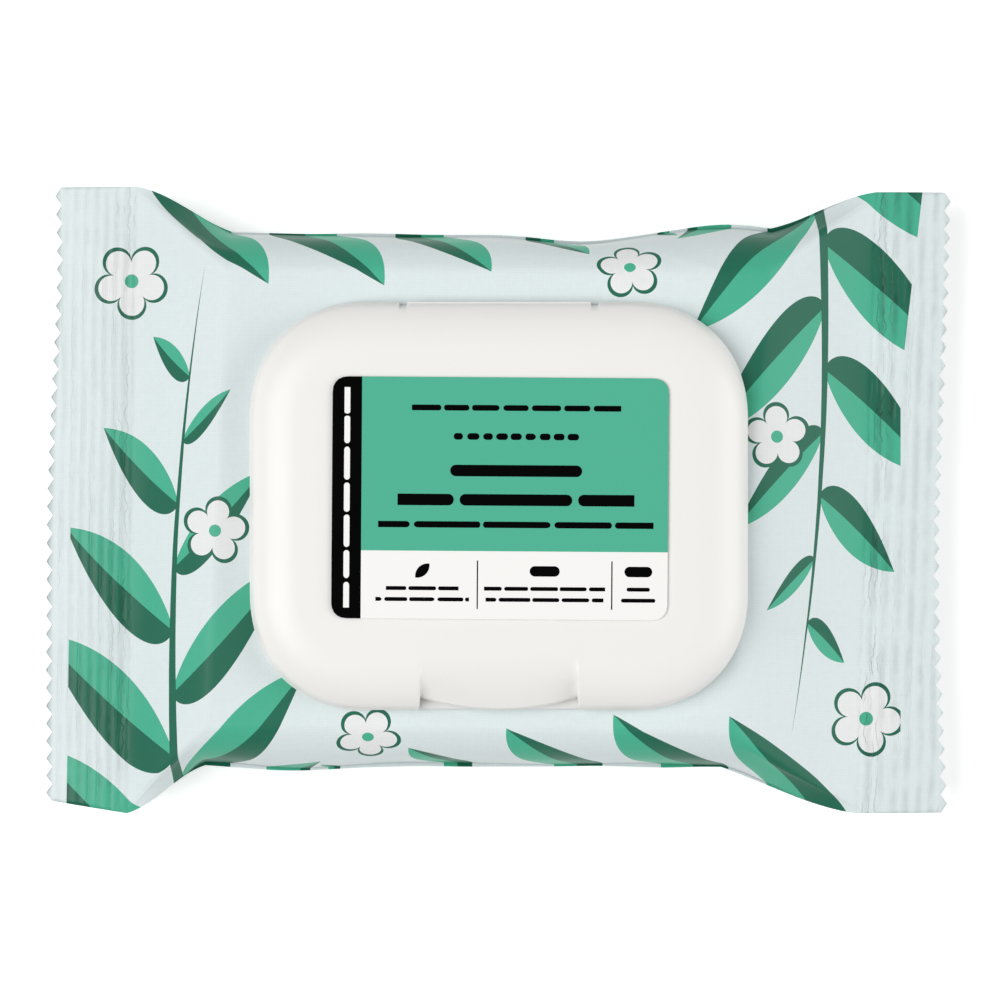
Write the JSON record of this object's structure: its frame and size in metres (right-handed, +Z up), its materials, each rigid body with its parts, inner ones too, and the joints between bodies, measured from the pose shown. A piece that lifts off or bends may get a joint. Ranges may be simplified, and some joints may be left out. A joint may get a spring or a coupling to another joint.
{
  "type": "wet wipes pack",
  "caption": "Flow-wrapped film pack of wet wipes lying on its back, with crimped zigzag end seals and a hinged plastic flip-top lid over a peel-off seal.",
  "frame": {"origin": "on the ground under the middle of the pack", "axes": "+X along the pack from one end seal to the other, +Y towards the lid's hinge, +Z up out of the lid"},
  "size_m": [0.1678, 0.116, 0.0318],
  "materials": {
    "bag_film": "satin printed film, pale mint with green print",
    "frame_plastic": "warm white moulded plastic, satin",
    "lid_plastic": "warm white moulded plastic, satin",
    "label_print": "printed sticker, green, white and black fields",
    "seal_film": "pale peel-off film sticker"
  },
  "bodies": {
    "pack": {"film_bag": "bag_film", "lid_frame": "frame_plastic", "peel_seal": "seal_film"},
    "lid": {"lid": "lid_plastic", "lid_label": "label_print"}
  },
  "joints": [
    {"name": "lid_hinge", "type": "hinge", "parent": "pack", "child": "lid", "pos_m": [0, 0.03615, 0.02585], "axis": [-1, 0, 0], "range_deg": [0, 150]}
  ]
}
